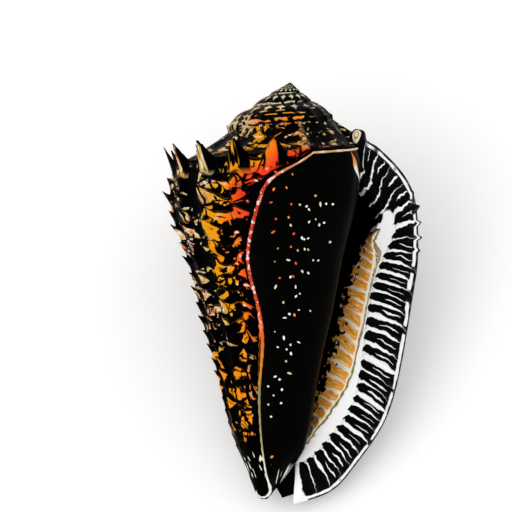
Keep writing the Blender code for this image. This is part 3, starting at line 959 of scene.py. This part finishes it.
# %% Shared effect: growth lines
came, went = ["Along", "Across"], ["Height", "Roughness"]
growth, (along, across), out = new_group("growth_lines", came, went)
put(out["Height"], noise(along * 9.0, across * 0.8, 0.0, 1.6, 3.0, 0.6))
put(out["Roughness"], noise(along, across, 3.0, 1.2, 3.0, 0.6) * 0.20 + 0.20)
print(growth.name, "nodes:", len(growth.nodes))


# %% One material, ready for its colours
def finish(name, specular, lines_along, lines_across, relief=0.00006):
    """A material with its gloss and growth lines, and the two sides of its piece's pattern.

    The lines come one after another along one side of the pattern, 0 or 1. lines_across
    shortens them along the other, and relief is their height.
    """
    material = bpy.data.materials.new(name)
    material.use_nodes = True
    tree = material.node_tree
    shader = tree.nodes["Principled BSDF"].inputs
    pattern = node(tree, "ShaderNodeUVMap", uv_map="pattern")
    split = after("ShaderNodeSeparateXYZ", {0: pattern}).socket.node
    sides = [Value(socket) for socket in split.outputs[:2]]
    across = sides[1 - lines_along] * lines_across
    height, roughness = placed(growth, Along=sides[lines_along], Across=across)
    bump = {"Strength": 0.25, "Distance": relief, "Height": height}
    put(shader["Specular IOR Level"], specular)
    put(shader["Normal"], after("ShaderNodeBump", bump))
    put(shader["Roughness"], roughness)
    return material, *sides


def named(material, name):
    """One of the named numbers on the points of the piece."""
    return node(material.node_tree, "ShaderNodeAttribute", out="Fac", attribute_name=name)


def dress(piece, material, colour):
    """Gives a piece its finish: the colour goes to the shader and the material to the piece."""
    put(material.node_tree.nodes["Principled BSDF"].inputs["Base Color"], colour)
    piece.data.materials.append(material)
    print(piece.name, "finish:", material.name, "nodes:", len(material.node_tree.nodes))


INK = "010101"

# %% [markdown]
# ### The whorls' finish
# The whorls are black with bright fills between the lines. Black hangs in festoons above each
# row of scales, laid as painted shade in the hollow behind each scale, runs down beside the ribs,
# and follows the borders of scattered cells. One side of each horn, and the ramp on the lip side,
# are black as painted shade too. An image could hold such a drawing, but nodes on rib and row
# number fit it to every scale. Where a mask depends on the distance from the shield, the pattern
# changes round the shell as on a real one.

# %% Whorl finish: places on the surface
material, along, row = finish("whorl_ink", 0.004, 0, 1.0)
loose = step(abs(row), 0.3, 2.2)
slide = noise(along * 0.9, row * 0.35, 4.0, 1.0) - 0.5
slide = slide * 1.3 * loose + row
along_m, row_m = placed(wander, Along=along, Row=slide, Sway=loose * 0.5 + 0.12)
depth_here = named(material, "depth")
from_edge = named(material, "from_shield")
upper = step(depth_here, 0.27, 0.21)
beside = step(from_edge, 0.26, 0.08) * (1.0 - upper)
flame = step(from_edge, 0.12, 0.2) * step(from_edge, 0.62, 0.46)
vein = noise(along_m * 3.4, row_m * 0.24, 21.0, 1.0)
vein = step(vein, 0.49, 0.57) * (flame * 0.8 + 0.2)
left = step(from_edge, 0.46, 0.72)
low = step(depth_here, 0.56, 0.66)

leftward = fraction(along_m + 0.5) - 0.5
off = abs(leftward)
cusp = math("EXPONENT", (off / CUSP_WIDE) ** CUSP_POWER * -1.0)
hung = row_m - (1.0 - cusp) * (SAG * 1.35)
below = fraction(hung + 40.0)

# %% Whorl finish: festoons of painted shade, and cell borders
# Black above each crest is painted shade for the hollow behind the scale, thickest midway between two
# ribs.
vary = noise(along, row, 0.0, 0.75) - 0.5
glow = upper * step(from_edge, 0.4, 0.22) * step(row, -0.4, 0.4)
ramp_here = step(row, -0.4, -1.0)
share = 0.2 + step(off, 0.03, 0.32) * 0.46 + vary * 1.5 + beside * 0.2 - vein * 0.46
share = share - glow * 0.46 + ramp_here * 0.04 + left * 0.08 - low * 0.22
# painted shade: a black festoon in the hollow above each crest
shade_festoon = step(below + share, 0.96, 1.04)

# small islands left inside the black
dots = step(noise(along * 3.6, row * 2.0, 2.0, 1.0), 0.655, 0.63)
shade_festoon = shade_festoon * dots

# borders of scattered cells, thin on the left and thick beside the shield and low down
cells = borders(along_m * 1.5, row_m * 0.75, 0.5)
width = 0.032 + beside * 0.09 + left * 0.03 + low * 0.1
border = step(cells - width, 0.02, -0.02)

# %% Whorl finish: thin lines, and all the ink together
# They run under each crest, beside the ribs and across the horns, with short strokes between, and one
# side of each horn is black as painted shade.
under = within(below, 0.05, 0.08, 0.03)
top = step(abs(row), 1.2, 0.7)
rib_side = within(off, top * 0.02 + 0.24, 0.07, 0.03)
rib_some = step(noise(along, row, 3.0, 1.6), 0.47, 0.52)
rib_side = rib_side * most(rib_some, top)
horn_tip = within(row_m, off * 1.2 - 0.06, 0.16, 0.08)
crease = step(noise(along * 9.0, row * 1.3, 2.0, 1.0), 0.55, 0.6)
inside_horn = step(off, 0.25, 0.2) * top
# horn_shade is painted shade: one side of each horn is black
horn_shade = step(row_m * 0.06 + leftward, -0.03, -0.06)
horn_line = most(horn_tip, crease * inside_horn, horn_shade)
horn_line = horn_line * step(off, 0.36, 0.31) * top
stroke = within(below, 0.34, 0.07, 0.03)
stroke = stroke * step(noise(along, row, 6.0, 2.3), 0.53, 0.57)
blot = left * 0.045 + noise(along_m, row_m, 12.0, 0.9)
blot = step(blot - glow * 0.1, 0.575, 0.59)
limit = step(from_edge + upper * 0.05 + vary * 0.3, 0.085, 0.055)
# painted shade: the ramp on the lip side is black except for scattered pale marks
ramp_shade = named(material, "ramp_shade")
glint = noise(along * 1.6, row, 8.0, 2.3)
shaded = step(glint, 0.57, 0.54) * step(ramp_shade, 0.2, 0.8)
base = step(vary * 5.0 + row, 19.0, 19.6)
slash = fraction(40.0 + row_m * 0.6 + along_m * 0.8)
slash = within(slash, 0.5, 0.1, 0.05) * ramp_here
ink = most(shade_festoon, border, under, rib_side, stroke, blot, slash)
ink = ink * (1.0 - inside_horn)
ink = most(ink, horn_line, limit, shaded, base)

# %% Whorl finish: the fills
# Flames of colour run along the ribs: red and orange beside the shield, then ochre, then cream.
REACH = 1.4
drift = noise(along, row * 0.45, 0.0, 1.4, 2.0) - 0.5
spread = drift * 0.55 + from_edge * (1.0 - top * 0.25)
spread = most(spread, step(depth_here, 0.5, 0.66) * 0.2)
spread = ramp_here * 0.16 + spread
spread = math("PINGPONG", most(spread, 0.0), REACH)
spread = math("MINIMUM", spread, REACH - low * 1.08)
tint = ramp(spread * (1 / REACH), {
    0.0: "f4501c", 0.1: "f4641a", 0.18: "f28414", 0.27: "f09a14", 0.38: "e09c10",
    0.43: "cdbb74", 0.56: "ccb06c", 0.7: "d8bc74", 0.85: "b8a264",
})
hot = step(from_edge, 0.42, 0.18) * step(depth_here, 0.4, 0.26) * step(row, -0.6, 0.4)
blush = step(noise(along, row, 19.0, 1.7), 0.56, 0.62)
blush = blush * step(spread, 0.52, 0.62)
patch = step(noise(along, row, 9.0, 1.3, 2.0), 0.55, 0.58)
patch = patch * step(spread, 0.5, 0.66)
speck = noise(along * 9.0, row * 3.6, 27.0, 1.3, 2.0)
far_side = step(spread, 0.5, 0.64)
fleck = step(noise(along, row, 5.0, 3.4, 0.0), 0.66, 0.7)
fleck = fleck * step(low, 1.0, 0.4) * (1.0 - top)
fleck = fleck * (step(from_edge, 0.4, 0.25) * 0.7 + 0.2)
faded = step(noise(along, row, 15.0, 1.1), 0.46, 0.54)
faded = low * step(from_edge, 0.3, 0.1) * faded
marks = noise(row * 0.9 + along * 4.0, row, 0.0, 1.3, 0.0)
marks = step(marks, 0.67, 0.69) * step(row, 20.2, 20.8) * step(row, 23.0, 22.6)
tint = layers(
    tint,
    (hot * 0.8, "ee3420"),
    (blush * 0.8, "dc9878"),
    (patch, "5a1508"),
    (step(speck, 0.56, 0.6) * far_side * 0.85, "e8823c"),
    (step(speck, 0.45, 0.4) * far_side * 0.85, "f6ead8"),
    (fleck, "ffd2bc"),
    # cream fills where the ramp is painted as shaded
    (step(ramp_shade, 0.2, 0.7) * 0.7, "d8c49a"),
    (faded * 0.8, "a8a084"),
    (ink, INK),
    (marks, "eee6d4"),
)
dress(body, material, tint)

# %% [markdown]
# ### The spire's finish
# The spire is black with a ring of pale four-pointed stars on each early turn. Fine broken
# lines, pale and then orange, follow the last turn. On its lip side that turn has no stars, fewer
# lines and cream fills, so it stays black as painted shade. A star is the curve whose two
# distances, each raised to the power 2/3, add up to 1: one formula draws them all, one for each rib.

# %% Spire finish
material, along, row = finish("spire_stars", 0.01, 0, 1.0)
along_m, row_m = placed(wander, Along=along, Row=row, Sway=0.34)
depth_here = named(material, "depth")
side = named(material, "side")
later = step(depth_here, 0.05, 0.064)
off = abs(fraction(along_m + 0.5) - 0.5)
high = abs(row_m - (-1.75 - later * 0.75))
star = oval(off, 0.4, high, 1.25, 2 / 3)
star = step(star, 0.98, 0.9) * step(depth_here, 0.004, 0.01)
line = abs(fraction(row_m * (1 / 0.62) + 40.0) - 0.5)
gaps = noise(along * 1.6, row * 1.1, 5.0, 1.4)
# painted shade: fewer lines on the lip side of the last turn
gaps = gaps - step(side, 0.05, 0.6) * later * 0.16
line = step(line, 0.19, 0.09) * step(gaps, 0.48, 0.54) * step(row_m, -1.9, -1.7) * later
rim = within(row_m, -0.1, 0.22, 0.12) * step(gaps, 0.44, 0.5) * step(side, 0.7, 0.3)
knob = within(off, 0.16, 0.08, 0.03) * step(row_m, -1.5, -1.1)
knob = knob * step(side, -0.55, -0.8) * later
# painted shade: no stars on the lip side of the last turn
star = star * (1.0 - step(side, 0.1, 0.4) * later)
mark = most(star, line, rim, knob)
tint = ramp(depth_here, {
    0.05: "cfc9a8", 0.062: "d8c89c", 0.074: "ee9c28", 0.096: "ef8c1c", 0.112: "e6c9b4",
})
# shade: cream fills on the side painted as shaded
shade = step(side, 0.2, 0.5) * later
tint = layers(tint, (step(side, -0.5, -0.85), "d4b48c"), (shade, "d8c49a"))
dress(spire, material, layers(INK, (mark, tint)))

# %% [markdown]
# ### The shield's and the lining's finish
# The shield is a deep, smooth black. Near its upper right corner one tapered streak goes from
# orange to white, and at its lower end pale strokes run into the canal. The lining is painted
# black as the shade inside the mouth, with a trace of brown, since hardly any light reaches it.

# %% Shield and lining finishes
material, across, down = finish("shield_gloss", 0.012, 1, 6.0, 0.00003)
middle = down * 2.35 + 0.21
half = step(down, 0.0, 0.05) * step(down, 0.125, 0.05) * 0.015
streak = step(abs(across - middle) - half, 0.004, -0.004)
canal = noise(across * 16.0 + down * 14.0, down * 5.0, 0.0, 2.4, 0.0)
canal = step(canal, 0.65, 0.67) * step(down, 0.925, 0.94) * step(down, 0.992, 0.985)
pale = ramp(down * 10.0, {0.1: "ee6a18", 0.45: "f0a050", 0.6: "f4efe0"})
cloud = noise(across * 3.0, down * 8.0, 0.0, 1.5, 3.0)
dress(shield, material, layers("000000", (cloud, "040302"), (canal, "f4f0e8"), (streak, pale)))

# painted shade: the lining is black with a faint brown cloud, for the shade inside the mouth
material, ring, length = finish("mouth_painted_shade", 0.02, 1, 1.0)
cloud = noise(ring * 0.1, length, 0.0, 2.0, 2.0)
dress(lining, material, layers("000000", (cloud, "030201")))

# %% [markdown]
# ### The thread's and the grains' finish
# The thread turns from red with pale beads to orange, with a black line painted along it as the
# shade of a groove that the tube doesn't have, and then to a plain pale line, so its colour is one
# ramp down its depth. Each grain has one tone, from red to white, kept as a number on its points.

# %% Thread and grain finishes
material, round_it, length = finish("thread_colours", 0.1, 1, 1.0, 0.00002)
down = named(material, "depth")
tint = ramp(down, {
    0.15: "c8b070", 0.19: "f0a060", 0.24: "cc301c", 0.5: "cc4014", 0.56: "ee5a0a",
    0.6: "ec640e", 0.64: "e07e1c", 0.69: "d89030", 0.72: "8c8458", 0.86: "b8a878",
    0.9: "f4f0e8",
})
bead = noise(length * 110.0, round_it * 3.0, 0.0, 1.0)
bead = step(bead, 0.52, 0.62) * step(down, 0.6, 0.52)
# painted shade: a black line along the orange part stands in for a groove
painted_groove_shade = within(round_it, 0.58, 0.065, 0.04)
painted_groove_shade = painted_groove_shade * step(down, 0.59, 0.61) * step(down, 0.71, 0.68)
dress(thread, material, layers(tint, (bead, "ffd6cc"), (painted_groove_shade, INK)))

material = finish("grain_colours", 0.25, 0, 1.0, 0.00001)[0]
tint = ramp(named(material, "tone"), {
    0.0: "e8401c", 0.3: "ee6a20", 0.5: "f0a040", 0.62: "d8d4a8", 1.0: "fbfbf4",
})
dress(grains, material, tint)

# %% [markdown]
# ### The lip's finish
# White ridges cross the black outer slope, wide at the crest and pointed before the rim, with
# short strokes between some of them. The crest is plain white, and inside it the face is orange
# with pale ribs. All of it is laid out by ridge number along the lip and by the way round its
# section, so each line stays on its own ridge.

# %% Lip finish: pale ridges on black
material, number, way = finish("lip_bands", 0.03, 1, 0.5)
way_m, number_m = placed(wander, Along=way, Row=number, Sway=0.44)
upper = step(number, 4.5, 1.5)

# a ridge: wide where it leaves the crest, pointed before the rim, bowed along the lip
inside = math("MULTIPLY", way - 3.0, 0.2, clamp=True)
bowed = math("SINE", inside * np.pi) * 0.35 + number_m
whole = nearest(bowed)
off = abs(bowed - whole)
own = noise(whole * 7.7, 3.0, 0.0, 1.0, 0.0)
end = (own - 0.5) * 4.0 + 6.5
half = step(way, 4.2, 3.1) * (0.16 - upper * 0.16) + 0.05
half = half + noise(number, way, 0.0, 1.6) * 0.15 + (own - 0.5) * 0.45
half = half * step(way_m - end, 0.3, -2.4)
half = half * (1.0 - upper * 0.25)
stripe = step(off - half, 0.022, -0.022)

# short strokes between some ridges
some = step(noise(whole * 3.1, 9.0, 0.0, 1.0, 0.0), 0.48, 0.52)
short = step(way_m, 4.6, 5.2) * step(way_m, 6.4, 5.7) * some
stray = step(abs(off - 0.5) - short * 0.08, 0.02, -0.02)
stray = stray * step(short, 0.1, 0.3)

# %% Lip finish: crest, margin, wedge and tooth
# The crest has a scalloped edge, and the margin runs just inside the rim.
scallop = 3.42 - off * 0.9
crest = step(way_m - scallop, 0.06, -0.06) * step(way_m, 2.0, 2.25)
crest = crest * step(number_m - way * 0.5, 0.9, 1.1)
margin_way = 7.05 - step(number, 11.0, 9.0) * 0.4
margin = within(way_m, margin_way, 0.34, 0.26)
margin = margin * step(noise(number, 4.0, 0.0, 0.8), 0.36, 0.42)
margin = margin * step(number, -1.3, -0.9)
white = most(stripe, stray, crest, margin) * step(way, 7.7, 7.55) * step(number, -1.6, -1.2)
wedge = step((way - 3.0) * 0.14 + number_m, 26.8, 26.92)
wedge = wedge * step(way, 8.2, 8.0) * step(way, 2.8, 3.1)
white = most(white, wedge)
hook = oval(abs(number - (way * 0.1 - 2.98)), 0.36, abs(way - 6.2), 1.1, 2.0)
outside = layers(
    INK,
    (white, "fefefc"),
    (step(hook, 1.1, 0.9), "efe4c6"),
    (within(hook, 0.25, 0.18, 0.08), "b08a4c"),
)

# %% Lip finish: the orange inner face
# It has pale ribs. Next to the mouth the face is black, as painted shade of the mouth, and the orange's
# edge is ragged where it meets that black.
slanted = number_m - way * SLANT
rib_whole = nearest(slanted)
rib_off = abs(slanted - rib_whole)
streak = noise(slanted * 7.0, way * 0.9, 0.0, 1.3, 2.0, 0.6)
orange = ramp(streak, {
    0.28: "c46c10", 0.38: "f89420", 0.48: "ffaa2c", 0.58: "ffc05a", 0.68: "fff6e0",
})
rib_half = noise(rib_whole * 5.3, way, 0.0, 1.0, 0.0)
rib = step(rib_off - (rib_half * 0.28 - 0.03), 0.04, -0.04)
narrow = step(number, 4.5, 7.0) * step(number, 15.0, 12.0)
bound = narrow * 0.45 + 2.05
pale_edge = narrow * 0.46 + (way_m - bound)
clump = noise(number * 1.4, way * 2.2, 6.0, 1.6, 2.0, 0.6)
ragged_shade_edge = (clump - 0.5) * 2.4 + way
inner = layers(
    orange,
    (rib * 0.85, "fbf8ec"),
    (step(number_m, 20.5, 23.0) * 0.6, "cfc490"),
    (step(pale_edge, -0.34, -0.2), "fff9e2"),
    # painted shade of the mouth: black over the face next to it, with a ragged edge
    (step(ragged_shade_edge, 0.42, 0.32), INK),
)
span = step(number_m, 3.3, 3.8) * step(number_m, 23.7, 23.2)
face = step(way_m - bound, 0.03, -0.03) * span
line = step(abs(way_m - bound) - narrow * 0.22, 0.12, 0.06)
broken = step(streak, 0.44, 0.54) * (narrow * 0.6) + (1.0 - narrow * 0.6)
dress(lip, material, layers(outside, (face, inner), (line * span * broken, "8c7434")))

# %% [markdown]
# ## Table, light and camera
# A small shell is best seen on a plain white table under one broad soft lamp and an even sky.
# More lamps would put more highlights on the black. The table looks white because it glows a
# little for the camera and in reflections only, so it adds no light to the shell and still
# takes its shadow.

# %% Table and light
WHITE = (1, 1, 1, 1)
GLOW, SKY, LAMP = 0.18, 0.90, 0.60
scene = bpy.context.scene
scene.view_settings.view_transform = "Standard"
bpy.ops.mesh.primitive_plane_add(size=3.0, location=(0, 0, -0.0001))
table = bpy.context.object
table.name = "table"
table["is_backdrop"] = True
white = bpy.data.materials.new("white_table")
white.use_nodes = True
tree = white.node_tree
path = node(tree, "ShaderNodeLightPath").socket.node.outputs
seen = most(*(Value(path[f"Is {kind} Ray"]) for kind in ("Camera", "Glossy", "Transmission")))
paper = {
    "Base Color": (0.9, 0.9, 0.9, 1),
    "Roughness": 1.0,
    "Specular IOR Level": 0.0,
    "Emission Color": WHITE,
    "Emission Strength": seen * GLOW,
}
for name, value in paper.items():
    put(tree.nodes["Principled BSDF"].inputs[name], value)
table.data.materials.append(white)

world = bpy.data.worlds.new("studio")
scene.world = world
world.use_nodes = True
sky = world.node_tree.nodes["Background"].inputs
put(sky["Color"], WHITE)
put(sky["Strength"], SKY)

lamp = bpy.data.lights.new("window", "SUN")
lamp.energy = LAMP
lamp.angle = 0.9
sun = bpy.data.objects.new("window", lamp)
sun.rotation_euler = (np.radians(20), np.radians(-38), 0)
scene.collection.objects.link(sun)
print("lamp:", LAMP, "sky:", SKY, "glow of the table:", GLOW)

# %% [markdown]
# ### Camera
# The camera looks square into the mouth, along the shell's own third axis. A long lens from far
# off keeps the shape free of perspective, as in a drawing. Its place and turn come from the
# same frame that laid the shell on the table.

# %% Camera
VIEW_WIDE = 0.06038
VIEW_MIDDLE = np.array([-4.01, -20.52, 0.0]) / 1000
lens = bpy.data.cameras.new("camera")
lens.lens = 600
lens.sensor_width = 36
lens.clip_start = 0.1
lens.clip_end = 10
camera = bpy.data.objects.new("camera", lens)
scene.collection.objects.link(camera)
scene.camera = camera
distance = VIEW_WIDE * lens.lens / lens.sensor_width
stand = np.eye(4)
stand[:3, :3] = lay
stand[:3, 3] = VIEW_MIDDLE @ lay.T + apex + lay[:, 2] * distance
camera.matrix_world = Matrix(stand.tolist())
print("camera stands off, m:", round(distance, 3))

# %% Size of what is seen
low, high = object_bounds()
print("visual, mm:", [round((b - a) * 1000, 2) for a, b in zip(low, high)])
